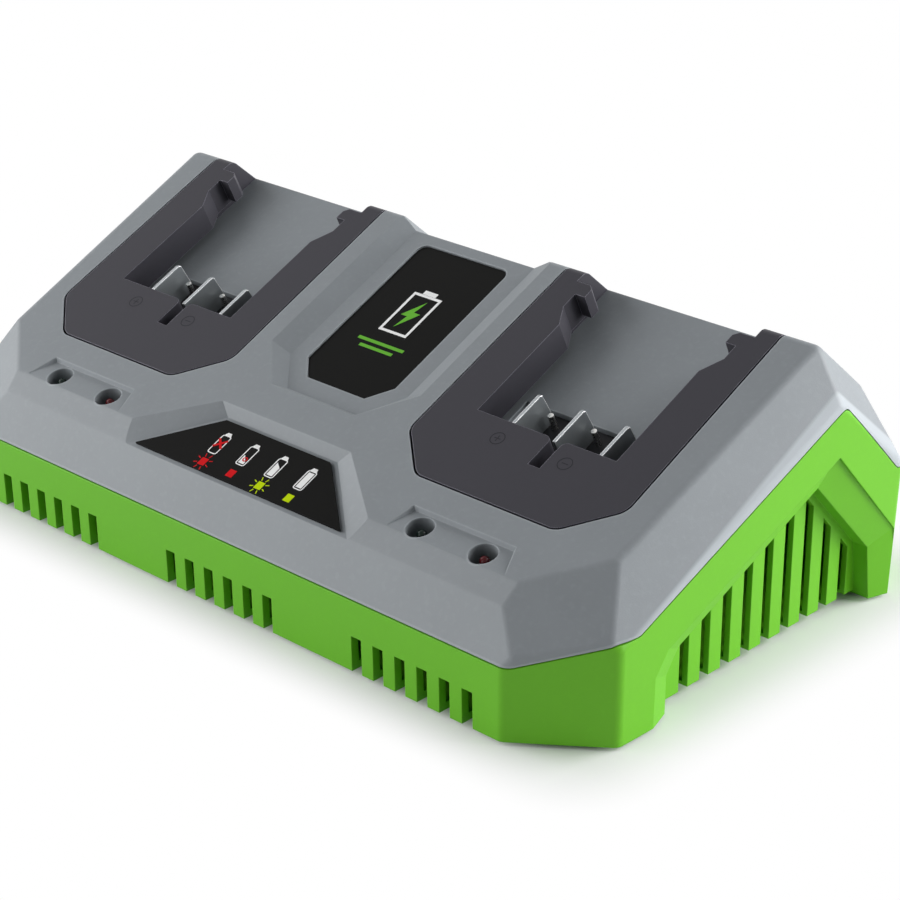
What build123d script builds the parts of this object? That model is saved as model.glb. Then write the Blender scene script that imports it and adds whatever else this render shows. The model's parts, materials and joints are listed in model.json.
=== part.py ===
from build123d import *
import math
import os

# Twin-bay charger for slide-on tool batteries.
# Frame: X across the two bays, Y from the vented front (-) to the cord wall (+), Z up.
# Origin: centre of the footprint, on the surface that the rubber feet stand on.

os.makedirs("parts", exist_ok=True)

# ---------------------------------------------------------------- housing form
wall = 2.6                  # moulded wall of both shells
foot_stand = 1.0            # height of the rubber below the base edge
front_y = -78.0             # front wall at the parting line
front_part_z = 22.3         # parting height along the front
band_knee = (-71.2, 35.3)   # y, z where the front band softens
crease = (-66.0, 40.6)      # y, z of the line between front band and battery slope
slope_angle = 24.5          # battery slope from the horizontal
slope_run = 102.6           # length of the slope from crease to ridge
back_angle = 40.5           # back slope from the horizontal
rear_y = 76.5               # rear wall
wall_draft = 0.02           # inward lean of the walls towards the floor, mm per mm
side_x = 130.9              # side wall at mid depth, at floor level
side_toe = 0.02             # widening of the body towards the rear, mm per mm
ridge_inset = 8.55          # end of the ridge, inside the side wall
crease_inset = 9.58         # end of the crease, inside the side wall
rim = 1.6                   # upright edge of the top shell above the parting line
corner_x = 106.4            # where the front corner facet leaves the front wall
corner_y = -60.0            # where it reaches the side wall
crease_corner_x = 101.5     # where the upper corner facet meets the crease
crease_corner_run = 17.0    # and how far it climbs the slope
rear_corner_x = 110.0
rear_corner_y = 57.0
rear_facet_x = 119.0        # top of the rear corner facet, on the back slope
edge_radius = 3.2           # softening of the outer edges

# ---------------------------------------------------------------- parting line
part_low_y = -60.5          # top of its climb across the corner facet
part_low_z = 30.2
part_step_y = -53.0         # start of the long climb along the side
part_step_z = 30.5
part_apex = (28.2, 67.5)
part_rear = (54.9, 40.6)
part_apex_radius = 4.0
reveal = 0.4                # shadow gap between the two shells
reveal_depth = 0.9
shell_gap = 0.4             # running clearance of inner walls to the base

# ---------------------------------------------------------------- vents
front_slot_pitch = 8.0
front_slot_width = 3.7
front_slot_count = 6
front_slot_top = 11.6
front_group_x = 74.6
side_slot_pitch = 8.85
side_slot_width = 3.8
side_slot_count = 9
side_slot_start = -26.9     # y of the first side slot
side_slot_margin = 3.0      # land between slot tops and the edge of the vent field
field_x = 124.25            # upright panel with the slots, from the middle of the charger
panel_thick = 1.8           # and its thickness
ledge_depth = 2.7           # sloped border of the vent recess
panel_lift = 1.2            # vent panel above the base edge
vent_corner = 4.5           # cut corner above the upright front edge
# y, z of the recess: upright front edge, apex, knee and foot of the fall at the rear
vent_mouth = (-46.0, (26.8, 53.4), (55.9, 22.1), (59.0, 1.0))
vent_ledge = (-38.3, (22.8, 44.6), (48.0, 18.0), (50.2, 1.0))

# ---------------------------------------------------------------- battery bays
bay_x = 74.4                # half distance between the bay centres
bay_shift = -0.4            # both bays sit a little to the left
frame_half = 38.0           # half width of the rail frame
frame_front = 18.5          # front edge up the slope
frame_end = 102.0
frame_nose = 24.5           # half width of its front edge
frame_shoulder = 31.5       # where its cut corners reach the sides
frame_corner = 5.5          # radius of those corners
frame_draft = 0.6           # narrowing of the frame towards the ridge
frame_gap = 0.6             # shadow gap round the rail frame
bay_depth = 11.5            # bay floor below the slope
rail_half = 24.5            # half distance between the rail lips
lip_height = 9.3            # rail lip, measured from the slope down
groove_reach = 5.0          # undercut behind the lip
mouth_front = 44.9          # front edge of the mouth of the rail frame
flare_start = 81.5
flare_half = 28.2
flare_end = 88.0
notch_end = 93.5            # latch notch, then the end stop
stop_half = 24.7
stop_end = 98.2
stop_height = 8.0           # depth of the end stop below the slope
stop_chamfer = 1.5
exit_half = 31.2
key_slot_x = 4.5            # relief slot in front of the middle blade
key_slot_width = 4.1
key_slot_front = 34.2
key_slot_depth = 10.0
key_slot_round = 2.0

well_end = 61.3             # rear edge of the terminal well
well_half = 24.0
well_depth = 25.0
blade_pitch = 15.4
blade_offset = 1.9          # middle blade from the bay centre
blade_thick = 1.0
blade_top = -2.2            # height against the slope
blade_front = 46.4
blade_lead = 1.2            # the middle blade starts earlier by this
blade_back = 57.7
blade_nose = 0.8            # chamfer of the upper rear corner
blade_heel = 59.3           # foot of the slanted rear edge
blade_heel_h = -9.0
block_top = -13.0
pin_radius = 0.9
pin_offset = 2.7            # data pin from the blade beside it
pin_v = 57.1
pin_top = -8.0

# ---------------------------------------------------------------- plates and lights
label_half = 30.0
label_floor_half = 23.6
label_depth = 3.2
label_wrap = 16.0           # the recess runs over the ridge and this far down the back
label_shoulder = 42.6
label_nose = 28.3
label_nose_half = 16.5
label_floor_nose = 31.0
label_floor_nose_half = 14.0
plate_half = 17.3
plate_front = 37.4
plate_front_half = 11.2
plate_shoulder = 44.0
plate_end = 96.5
plate_thick = 0.8
plate_pocket = 1.3          # pocket of the label plate in the recess floor
plate_gap = 0.3

display_front = -12.0       # the cut runs out through the front band
display_half = 63.5
display_back_half = 26.0
display_back = 17.0
display_depth = 2.75
display_floor_half = 50.6
window_half = 41.8
window_front = -5.8
window_back_half = 21.1
window_back = 12.7
window_thick = 0.8

pad_tilt = 8.5              # light pads lie flatter than the slope by this angle
pad_inner = 53.5
pad_outer = 98.0
pad_back_inner = 57.5
pad_back_outer = 92.4
pad_run = 8.5
light_spacing = 22.3
light_v = 3.9
light_radius = 1.5
light_bore_radius = 4.05
light_collar_wall = 1.2
light_collar = 5.5          # depth of the collar round the bore, below the pad

block_gap = 0.3
blade_root = -20.0
pin_root = -20.0
led_board = (34.0, 11.0, 1.6)
led_post_step = 5.0
led_post_radius = 1.8
light_flange = 1.0
light_lip = 0.4
light_seat = 7.0            # light board below the pad
light_drop = 2.6            # root of the dome below the pad
plate_corner = 3.0

# ---------------------------------------------------------------- inside
floor_thick = 2.2
board_z = 12.0
board_thick = 1.6
board_size = (196.0, 96.0)
board_y = 2.0
board_screw_reach = 5.0
post_radius = 3.4
post_inset = 6.0
screw_radius = 1.5
screw_head = 2.8
screw_gap = 0.06
head_thick = 1.6
rail_screw_x = 33.0         # from the bay centre
rail_screw_vs = (44.0, 84.0)
rail_screw_reach = 7.0
foot_radius = 7.0
foot_thick = 2.0            # half of it sits in the floor
foot_gap = 0.3
foot_x = 98.0
foot_front_y = -58.0
foot_rear_y = 58.0
case_front_x = 50.0
case_front_y = -60.0
case_rear_x = 84.0
case_rear_y = 64.0
case_post_radius = 4.0
case_tube_radius = 4.8
case_joint_z = 20.0
case_seat = 2.6
case_screw_radius = 1.7
case_screw_head = 3.2
case_screw_reach = 11.0
case_head_thick = 2.2
core_place = (6.0, 18.0)
core_size = (36.0, 16.0, 30.0)
core_leg = 5.0
coil_gap = 0.4
capacitor_place = (-18.0, -22.0)
capacitor_size = (9.0, 30.0)
choke_place = (48.0, -24.0)
choke_size = (9.0, 4.5, 9.0)
sink_place = (-58.0, 20.0)
sink_size = (32.0, 12.0, 22.0)
sink_back = 3.0
sink_fins = 6
sink_fin_thick = 1.4

# ---------------------------------------------------------------- fan and cord wall
fan_side = 40.0
fan_depth = 10.0
fan_y = 10.0
fan_gap = 0.4               # between the fan and the vent wall
fan_rim = 1.2               # thinnest wall of the fan frame
fan_tip_gap = 0.8
fan_face_gap = 0.8
fan_rib = 3.0               # ribs of the base on both sides of the fan
fan_rib_height = 28.0
fan_arm = 2.4
stator_thick = 1.5
hub_radius = 9.5
hub_wall = 1.3
fan_blades = 7
fan_pitch = 38.0
fan_chord = 8.4
fan_vane_thick = 0.9
shaft_radius = 1.0
shaft_gap = 0.08
bearing_radius = 2.6
cord_x = -60.0
cord_z = 22.0
cord_bore = 3.6
bush_radius = 6.0
bush_flange = 7.8
bush_flange_thick = 1.6
bush_play = 0.15

# ---------------------------------------------------------------- derived places
slope = Plane(
    origin=(0, crease[0], crease[1]),
    x_dir=(1, 0, 0),
    z_dir=(0, -math.sin(math.radians(slope_angle)), math.cos(math.radians(slope_angle))),
)
side_wall = Plane(origin=(side_x, 0, 0), x_dir=(side_toe, 1, 0), z_dir=(1, -side_toe, 0))
blade_profile = Plane(origin=slope.origin, x_dir=slope.y_dir, z_dir=(1, 0, 0))
ridge_y = crease[0] + slope_run * math.cos(math.radians(slope_angle))
ridge_z = crease[1] + slope_run * math.sin(math.radians(slope_angle))
back = Plane(
    origin=(0, ridge_y, ridge_z),
    x_dir=(1, 0, 0),
    z_dir=(0, math.sin(math.radians(back_angle)), math.cos(math.radians(back_angle))),
)
floor_z = foot_stand
floor_top = floor_z + floor_thick
crease_half = side_x - crease_inset + side_toe * crease[0]
ridge_half = side_x - ridge_inset + side_toe * ridge_y
fan_bore = fan_side / 2 - fan_rim
fan_x = fan_depth + fan_gap + panel_thick - field_x
bay_centres = (("left", bay_shift - bay_x), ("right", bay_shift + bay_x))
across = Plane(origin=(0, 0, 0), x_dir=(0, 1, 0), z_dir=(1, 0, 0))
standing = (Align.CENTER, Align.CENTER, Align.MIN)
hanging = (Align.CENTER, Align.CENTER, Align.MAX)
side_rise = (part_apex[1] - part_step_z) / (part_apex[0] - part_step_y)   # climb of the parting line
side_fall = (part_apex[1] - part_rear[1]) / (part_rear[0] - part_apex[0])   # and its fall behind the apex
below = foot_stand - 6        # a height under the whole body
past = 12.0                   # how far cutting shapes run past a face


def on_slope(x, v, h=0.0):
    """A point given across, up and above the battery slope."""
    return slope.from_local_coords(Vector(x, v, h))


def back_z(y):
    """Height of the back slope."""
    return ridge_z - (y - ridge_y) * math.tan(math.radians(back_angle))


def side_at(y, z):
    """Half width of the body at the side wall."""
    return side_x + side_toe * y + wall_draft * z


def facing(a, b, c, hint):
    """Plane through three points, as a point and the normal that looks along hint."""
    normal = (Vector(*b) - Vector(*a)).cross(Vector(*c) - Vector(*a)).normalized()
    if normal.dot(Vector(*hint)) < 0:
        normal = normal * -1
    return Vector(*a), normal


def skin():
    """The flat faces that bound the housing: centre faces, then right and left ones."""
    faces = [
        (Vector(0, front_y, front_part_z), Vector(0, -1, -wall_draft).normalized()),
        facing((0, front_y, front_part_z), (1, front_y, front_part_z), (0, *band_knee), (0, -1, 1)),
        facing((0, *band_knee), (1, *band_knee), (0, *crease), (0, -1, 1)),
        (slope.origin, slope.z_dir),
        facing((0, ridge_y, ridge_z), (1, ridge_y, ridge_z), (0, rear_y, back_z(rear_y)), (0, 1, 1)),
        (Vector(0, rear_y, part_rear[1]), Vector(0, 1, -wall_draft).normalized()),
    ]
    long_y = -22.0
    long_z = part_step_z + (long_y - part_step_y) * side_rise
    fall_y = 42.0
    fall_z = part_apex[1] - (fall_y - part_apex[0]) * side_fall
    corner_mid_x = (corner_x + side_x) / 2
    corner_mid_y = (front_y + corner_y) / 2
    corner_mid_z = (front_part_z + part_low_z) / 2
    right = [
        (Vector(side_x, 0, 0), Vector(1, -side_toe, -wall_draft).normalized()),
        facing(
            (crease_half, *crease),
            (ridge_half, ridge_y, ridge_z),
            (side_at(long_y, long_z + rim), long_y, long_z + rim),
            (1, 0, 1),
        ),
        facing(
            (ridge_half, ridge_y, ridge_z),
            (ridge_half + 0.6, rear_y, back_z(rear_y)),
            (side_at(fall_y, fall_z + rim), fall_y, fall_z + rim),
            (1, 0, 1),
        ),
        facing(
            (corner_x, front_y, front_part_z),
            (side_at(corner_y, part_low_z), corner_y, part_low_z),
            (corner_x - wall_draft * 20, front_y + wall_draft * 20, front_part_z - 20),
            (1, -1, 0),
        ),
        facing(
            tuple(on_slope(crease_corner_x, 0)),
            tuple(on_slope(crease_half, crease_corner_run)),
            (corner_mid_x, corner_mid_y, corner_mid_z + rim),
            (1, -1, 1),
        ),
        facing(
            (side_at(rear_corner_y, part_rear[1]), rear_corner_y, part_rear[1]),
            (rear_corner_x, rear_y, part_rear[1]),
            (rear_corner_x - wall_draft * 20, rear_y - wall_draft * 20, part_rear[1] - 20),
            (1, 1, 0),
        ),
        facing(
            (side_at(rear_corner_y, part_rear[1]), rear_corner_y, part_rear[1] + rim),
            (rear_corner_x, rear_y, part_rear[1] + rim),
            (rear_facet_x, rear_corner_y, back_z(rear_corner_y)),
            (1, 1, 1),
        ),
    ]
    for point, normal in right:
        faces.append((point, normal))
        faces.append((Vector(-point.X, point.Y, point.Z), Vector(-normal.X, normal.Y, normal.Z)))
    return faces


def hull(inset, low):
    """The housing form, moved inwards by inset, above the height low."""
    body = Pos(0, 0, low + 60) * Box(300, 220, 120)
    for point, normal in skin():
        cut = Plane(origin=point - normal * inset, z_dir=normal)
        body = split(body, bisect_by=cut, keep=Keep.BOTTOM)
    return body


def column(face, low, high, frame=Plane.XY):
    """Straight column over a flat face, between two heights of its frame."""
    return frame.location * Pos(0, 0, low) * extrude(face, high - low, dir=(0, 0, 1))


def prism(points, low, high, frame=Plane.XY):
    """Straight column over a closed outline."""
    return column(make_face(Polyline(*points, close=True)), low, high, frame)


def rod(low, high, radius, sides=16):
    """Bar of few faces along Z, for round pieces that stay out of view."""
    return column(RegularPolygon(radius, sides), low, high)


def upright(x, y, low, high, radius, sides=16):
    """The same at a place on the floor plan."""
    return Pos(x, y, 0) * rod(low, high, radius, sides)


def taper(lower, upper, low, high, frame=Plane.XY):
    """Column whose outline changes from lower to upper."""
    first = Pos(0, 0, low) * make_face(Polyline(*lower, close=True))
    last = Pos(0, 0, high) * make_face(Polyline(*upper, close=True))
    return frame.location * loft([first, last], ruled=True)


def grow(inner, outer, share):
    """Outline that lies past outer by a share of its step from inner."""
    return [(o[0] + (o[0] - i[0]) * share, o[1] + (o[1] - i[1]) * share) for i, o in zip(inner, outer)]


def mirrored(shape):
    return mirror(shape, about=Plane.YZ)


def parting(lift=0.0):
    """Everything below the parting surface."""
    line = FilletPolyline(
        (-150, front_part_z + lift),
        (front_y + 1.4, front_part_z + lift),
        (part_low_y, part_low_z + lift),
        (part_step_y, part_step_z + lift),
        (part_apex[0], part_apex[1] + lift),
        (part_rear[0], part_rear[1] + lift),
        (150, part_rear[1] + lift),
        radius=part_apex_radius,
    )
    close_line = Polyline((150, part_rear[1] + lift), (150, -50), (-150, -50), (-150, front_part_z + lift))
    return column(make_face(line + close_line), -150, 150, across)


def save(shape, name):
    export_step(shape, f"parts/{name}.step")
    return shape


def ring(count, pitch):
    """Positions of an evenly spaced row, centred on zero."""
    return [(i - (count - 1) / 2) * pitch for i in range(count)]


# ---------------------------------------------------------------- outlines
def both(half):
    """Closed outline from its right half, listed from front to back."""
    return [(x, v) for x, v in half] + [(-x, v) for x, v in reversed(half)]


def frame_face(centre, gap=0.0):
    """Outline of a rail frame on the slope, with rounded front corners; gap widens it."""
    outline = both([
        (frame_nose + gap / 2, frame_front - gap),
        (frame_half + gap, frame_shoulder - gap / 2),
        (frame_half + gap - frame_draft, frame_end + past),
    ])
    face = make_face(Polyline(*outline, close=True))
    corners = [v for v in face.vertices() if v.Y < frame_shoulder + 1]
    return Pos(centre, 0, 0) * fillet(corners, frame_corner + gap)


def mouth_face(centre):
    """Opening of a rail frame: straight lips, flare, latch notch, end stop and exit."""
    outline = both([
        (rail_half, mouth_front),
        (rail_half, flare_start),
        (flare_half, flare_end),
        (flare_half, notch_end),
        (stop_half, notch_end),
        (stop_half, stop_end - stop_chamfer),
        (stop_half + stop_chamfer, stop_end),
        (exit_half, stop_end),
        (exit_half, frame_end + past),
    ])
    return Pos(centre, 0, 0) * make_face(Polyline(*outline, close=True))


def key_face(centre):
    """Relief slot, with rounded corners where it opens into the mouth."""
    slot = key_slot_width / 2
    outline = both([
        (slot, key_slot_front),
        (slot, mouth_front),
        (slot + 2 * key_slot_round, mouth_front),
        (slot + 2 * key_slot_round, mouth_front + 1),
    ])
    face = make_face(Polyline(*outline, close=True))
    corners = [v for v in face.vertices() if abs(v.X) < slot + 0.1 and v.Y > key_slot_front + 1]
    return Pos(centre + key_slot_x, 0, 0) * fillet(corners, key_slot_round)


def groove_outline(centre):
    """Undercut behind the lips, where the flanges of the battery run."""
    reach = rail_half + groove_reach
    return [
        (centre - reach, mouth_front + 1.0),
        (centre + reach, mouth_front + 1.0),
        (centre + reach, frame_end + past),
        (centre - reach, frame_end + past),
    ]


def plate_face(gap=0.0):
    """Outline of the label plate, with rounded rear corners."""
    outline = both([
        (plate_front_half + gap, plate_front - gap),
        (plate_half + gap, plate_shoulder),
        (plate_half + gap, plate_end + gap),
    ])
    face = make_face(Polyline(*outline, close=True))
    rear_corners = [v for v in face.vertices() if v.Y > plate_end - 1]
    return fillet(rear_corners, plate_corner + gap)


# ---------------------------------------------------------------- top shell
outer = hull(0, foot_stand)
soft_edges = [e for e in outer.edges() if e.center().Z > foot_stand + 0.01]
outer = fillet(soft_edges, edge_radius)
cavity = hull(wall, floor_top)
core = hull(reveal_depth, foot_stand - 2)
lower_half = parting()


def bay_tub(centre):
    """Walls and floor that carry a rail frame below the slope."""
    tub = column(frame_face(centre, frame_gap + wall), -bay_depth - wall, -0.5, slope)
    well = [
        (centre - well_half - wall, mouth_front - wall),
        (centre + well_half + wall, mouth_front - wall),
        (centre + well_half + wall, well_end + wall),
        (centre - well_half - wall, well_end + wall),
    ]
    return tub + prism(well, -well_depth - wall, -bay_depth, slope)


def bay_room(centre):
    """Space inside a bay tub: rail frame, floor level and terminal well."""
    well = [
        (centre - well_half, mouth_front),
        (centre + well_half, mouth_front),
        (centre + well_half, well_end),
        (centre - well_half, well_end),
    ]
    room = column(frame_face(centre, frame_gap), -bay_depth, past, slope)
    return room + prism(well, -well_depth, -bay_depth + 1, slope)


pad_plane = Plane(
    origin=slope.origin,
    x_dir=(1, 0, 0),
    z_dir=(
        0,
        -math.sin(math.radians(slope_angle - pad_tilt)),
        math.cos(math.radians(slope_angle - pad_tilt)),
    ),
)
pad_low = [(pad_inner, -3), (pad_outer, -3), (pad_back_outer, pad_run), (pad_back_inner, pad_run)]
pad_high = [(pad_inner - 1.5, -3), (pad_outer + 1.5, -3), (pad_back_outer + 1.5, pad_run + 1.2),
            (pad_back_inner - 1.5, pad_run + 1.2)]
label_floor = both([
    (label_floor_nose_half, label_floor_nose),
    (label_floor_half, label_shoulder),
    (label_floor_half, slope_run + 10),
])
label_edge = both([
    (label_nose_half, label_nose),
    (label_half, label_shoulder),
    (label_half, slope_run + 10),
])
wrap_floor = both([(label_floor_half, -past), (label_floor_half, label_wrap)])
wrap_edge = both([(label_half, -past), (label_half, label_wrap + label_half - label_floor_half)])
display_floor = both([(display_floor_half, display_front), (window_back_half + 1.2, window_back + 1.4)])
display_edge = both([(display_half, display_front), (display_back_half, display_back)])

inside = hull(wall + shell_gap, floor_top + 1)
room_above = (outer - lower_half) + inside
reveal_cut = (parting(reveal) - core) & outer
top_shell = (outer - lower_half) - cavity
for name, centre in bay_centres:
    top_shell = top_shell + (bay_tub(centre) & room_above)
backing = prism(grow(label_floor, label_edge, 0.2), -label_depth - plate_pocket / 2 - wall, -1, slope)
backing = backing + prism(wrap_edge, -label_depth - wall, -1, back)
backing = backing + prism(display_edge, -display_depth - wall, -1, slope)
top_shell = top_shell + (backing & room_above)
for name, centre in bay_centres:
    top_shell = top_shell - bay_room(centre)
label_brim = grow(label_floor, label_edge, 1 / label_depth)
top_shell = top_shell - taper(label_floor, label_brim, -label_depth, 1, slope)
wrap_brim = grow(wrap_floor, wrap_edge, 1 / label_depth)
top_shell = top_shell - taper(wrap_floor, wrap_brim, -label_depth, 1, back)
display_brim = grow(display_floor, display_edge, 1 / display_depth)
top_shell = top_shell - taper(display_floor, display_brim, -display_depth, 1, slope)
for side in (-1, 1):
    low = [(side * x, v) for x, v in pad_low]
    high = [(side * x, v) for x, v in pad_high]
    top_shell = top_shell - taper(low, high, 0, 3, pad_plane)
light_steps = (-light_spacing / 2, light_spacing / 2)
light_xs = [side * front_group_x + step for side in (-1, 1) for step in light_steps]
for x in light_xs:
    axis = pad_plane.location * Pos(x, light_v, 0)
    collar = axis * rod(-light_collar, -wall / 2, light_bore_radius + light_collar_wall)
    top_shell = top_shell + (collar & room_above)
    top_shell = top_shell - axis * Cylinder(light_bore_radius, 2 * light_collar + 1)
top_shell = top_shell - column(plate_face(plate_gap), -label_depth - plate_pocket, -label_depth + 1, slope)
top_shell = top_shell - reveal_cut


# ---------------------------------------------------------------- base shell
def vent_outline(front, apex, knee, foot):
    """Outline of the vent recess on the side wall, open at the floor."""
    corner_z = apex[1] - (apex[0] - front) * side_rise
    lean = (foot[0] - knee[0]) / (knee[1] - foot[1])
    return [
        (front, below),
        (front, corner_z - vent_corner),
        (front + vent_corner, corner_z + vent_corner * side_rise),
        apex,
        knee,
        (foot[0] + (foot[1] - below) * lean, below),
    ]


def beyond(x):
    """Everything to the right of x."""
    room = (2 * side_x, 4 * side_x, 4 * side_x)
    return Pos(x, 0, 0) * Box(*room, align=(Align.MIN, Align.CENTER, Align.CENTER))


def vent_recess():
    """Recess in the right side wall: a sloped border, then a straight step to the slotted panel."""
    mouth = vent_outline(*vent_mouth)
    ledge = vent_outline(*vent_ledge)
    border = taper(ledge, mouth, -ledge_depth, 0, side_wall) + prism(mouth, 0, past, side_wall)
    return border + (prism(ledge, -ledge_depth - past, -ledge_depth, side_wall) & beyond(field_x))


def grow_outline(points):
    """A recess outline widened by the wall."""
    shifts = [(-1, 0), (-1, 0), (-0.6, 1), (0, 1.2), (1, 0.6), (1, 0)]
    return [(y + dy * wall, z + dz * wall) for (y, z), (dy, dz) in zip(points, shifts)]


def vent_backing():
    """Wall behind the recess, as thick as the rest."""
    border = prism(grow_outline(vent_outline(*vent_mouth)), -ledge_depth - wall, 0, side_wall)
    panel = prism(grow_outline(vent_outline(*vent_ledge)), -ledge_depth - past, 0, side_wall)
    return border + (panel & beyond(field_x - panel_thick))


def vent_top(y):
    """Upper end of a side slot at y."""
    apex, knee = vent_ledge[1], vent_ledge[2]
    climb = apex[1] - (apex[0] - y) * side_rise
    fall = apex[1] - (y - apex[0]) * (apex[1] - knee[1]) / (knee[0] - apex[0])
    return min(climb, fall) - side_slot_margin


def side_slots():
    """Vent slots through the right panel, their tops cut along its edge, and its lower edge."""
    low_edge = foot_stand + panel_lift
    front, rear = vent_ledge[0], vent_ledge[3][0]
    slots = prism([(front, below), (rear, below), (rear, low_edge), (front, low_edge)],
                  field_x - 2 * wall, side_x, across)
    for i in range(side_slot_count):
        left = side_slot_start + i * side_slot_pitch - side_slot_width / 2
        right = left + side_slot_width
        outline = [(left, below), (right, below), (right, vent_top(right)), (left, vent_top(left))]
        slots = slots + prism(outline, field_x - 2 * wall, side_x, across)
    return slots


def front_slots():
    """Slots of the front wall, in three groups, open at the base edge."""
    slots = Part()
    tall = Box(front_slot_width, wall * 3, front_slot_top, align=hanging)
    for group in (-front_group_x, 0, front_group_x):
        for step in ring(front_slot_count, front_slot_pitch):
            slots = slots + Pos(group + step, front_y + wall / 2, front_slot_top) * tall
    return slots


board_posts = [
    (x * (board_size[0] / 2 - post_inset), board_y + y * (board_size[1] / 2 - post_inset))
    for x in (-1, 1) for y in (-1, 1)
]
feet = [(x * foot_x, y) for x in (-1, 1) for y in (foot_front_y, foot_rear_y)]
case_posts = [(x * case_front_x, case_front_y) for x in (-1, 1)]
case_posts = case_posts + [(x * case_rear_x, case_rear_y) for x in (-1, 1)]

base_shell = (outer & lower_half) - cavity
backing = vent_backing() & outer & lower_half
base_shell = base_shell + backing + mirrored(backing)
for x, y in board_posts:
    base_shell = base_shell + upright(x, y, floor_z, board_z, post_radius)
for x, y in feet:
    base_shell = base_shell - upright(x, y, below, foot_thick, foot_radius + foot_gap, 32)
for x, y in case_posts:
    base_shell = base_shell + upright(x, y, floor_z, case_joint_z, case_tube_radius)
for x, y in board_posts:
    hole = upright(x, y, board_z - board_screw_reach, board_z + 1, screw_radius + screw_gap)
    base_shell = base_shell - hole
for x, y in case_posts:
    base_shell = base_shell - upright(x, y, 0, case_joint_z - case_seat, case_screw_head + screw_gap)
    base_shell = base_shell - upright(x, y, 0, case_joint_z + 1, case_screw_radius + screw_gap)
for shape in (vent_recess(), side_slots()):
    base_shell = base_shell - shape - mirrored(shape)
base_shell = base_shell - front_slots()
for side in (-1, 1):
    rib_y = fan_y + side * (fan_side + fan_rib) / 2
    rib = Box(fan_depth, fan_rib, fan_rib_height, align=(Align.MAX, Align.CENTER, Align.MIN))
    base_shell = base_shell + Pos(fan_x, rib_y, floor_z) * rib
cord_hole = Pos(cord_x, rear_y, cord_z) * Rot(90, 0, 0) * Cylinder(bush_radius, past)
base_shell = base_shell - cord_hole
save(base_shell, "base_shell")

# ---------------------------------------------------------------- top shell, inner posts
for x, y in case_posts:
    post = upright(x, y, case_joint_z, 90, case_post_radius) & room_above & hull(wall / 2, floor_top)
    top_shell = top_shell + post
    top_shell = top_shell - upright(x, y, 0, case_joint_z + case_screw_reach, case_screw_radius + screw_gap)
for side in (-1, 1):
    for step in (-led_post_step, led_post_step):
        place = pad_plane.location * Pos(side * front_group_x + step, light_v, 0)
        top_shell = top_shell + place * rod(-light_seat, -wall / 2, led_post_radius)
rail_screw_steps = [(x, v) for x in (-rail_screw_x, rail_screw_x) for v in rail_screw_vs]
rail_screw_spots = [(centre + x, v) for name, centre in bay_centres for x, v in rail_screw_steps]
for x, v in rail_screw_spots:
    hole = rod(-bay_depth - 2 * wall, -bay_depth + 1, screw_radius + screw_gap)
    top_shell = top_shell - slope.location * Pos(x, v, 0) * hole
save(top_shell, "top_shell")

# ---------------------------------------------------------------- rail frames
for name, centre in bay_centres:
    frame = column(frame_face(centre), -bay_depth, 0, slope) & outer
    frame = frame - column(mouth_face(centre), -bay_depth - 1, 2, slope)
    frame = frame - prism(groove_outline(centre), -bay_depth - 1, -lip_height, slope)
    stop_run = stop_end - notch_end
    under_stop = Box(2 * flare_half, stop_run, bay_depth, align=(Align.CENTER, Align.MIN, Align.MAX))
    frame = frame - slope.location * Pos(centre, notch_end, -stop_height) * under_stop
    frame = frame - column(key_face(centre), -key_slot_depth, 2, slope)
    for x, v in rail_screw_spots:
        if abs(x - centre) < frame_half:
            hole = rod(-bay_depth - 1, -bay_depth + rail_screw_reach, screw_radius + screw_gap)
            frame = frame - slope.location * Pos(x, v, 0) * hole
    save(frame, f"rail_frame_{name}")

# ---------------------------------------------------------------- terminals


def blade(x, front):
    """Flat contact blade, upright on the slope, with a cut corner and a slanted rear edge."""
    outline = [
        (front, blade_root),
        (blade_heel, blade_root),
        (blade_heel, blade_heel_h),
        (blade_back + blade_nose, blade_top - blade_nose / 2),
        (blade_back, blade_top),
        (front, blade_top),
    ]
    return Pos(x, 0, 0) * prism(outline, -blade_thick / 2, blade_thick / 2, blade_profile)


for name, centre in bay_centres:
    half = well_half - block_gap
    block_front = mouth_front + block_gap
    block_back = well_end - block_gap
    block = prism([(centre - half, block_front), (centre + half, block_front),
                   (centre + half, block_back), (centre - half, block_back)],
                  -well_depth, block_top, slope)
    middle = centre + blade_offset
    for part_name, step in (("plus", -1), ("signal", 0), ("minus", 1)):
        lead = blade_lead if step == 0 else 0
        one = blade(middle + step * blade_pitch, blade_front - lead)
        block = block - one
        save(one, f"{part_name}_blade_{name}")
    pins = Part()
    for step in (-1, 0):
        pin = rod(pin_root, pin_top, pin_radius)
        pins = pins + slope.location * Pos(middle + step * blade_pitch + pin_offset, pin_v, 0) * pin
    block = block - pins
    save(pins, f"data_pins_{name}")
    save(block, f"terminal_block_{name}")

# ---------------------------------------------------------------- plates
plate_low = -label_depth - plate_pocket
save(column(plate_face(), plate_low, plate_low + plate_thick, slope), "label_plate")
window = both([(window_half, window_front), (window_back_half, window_back)])
save(prism(window, -display_depth, -display_depth + window_thick, slope), "indicator_plate")

# ---------------------------------------------------------------- charge lights
dome_turns = (0, 30, 55, 75)


def light_dome(turn):
    """Ring of the rounded end of a charge light, at an angle from its root."""
    angle = math.radians(turn)
    ring_radius = light_radius * math.cos(angle)
    return Pos(0, 0, -light_drop + light_radius * math.sin(angle)) * RegularPolygon(ring_radius, 16)


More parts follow.
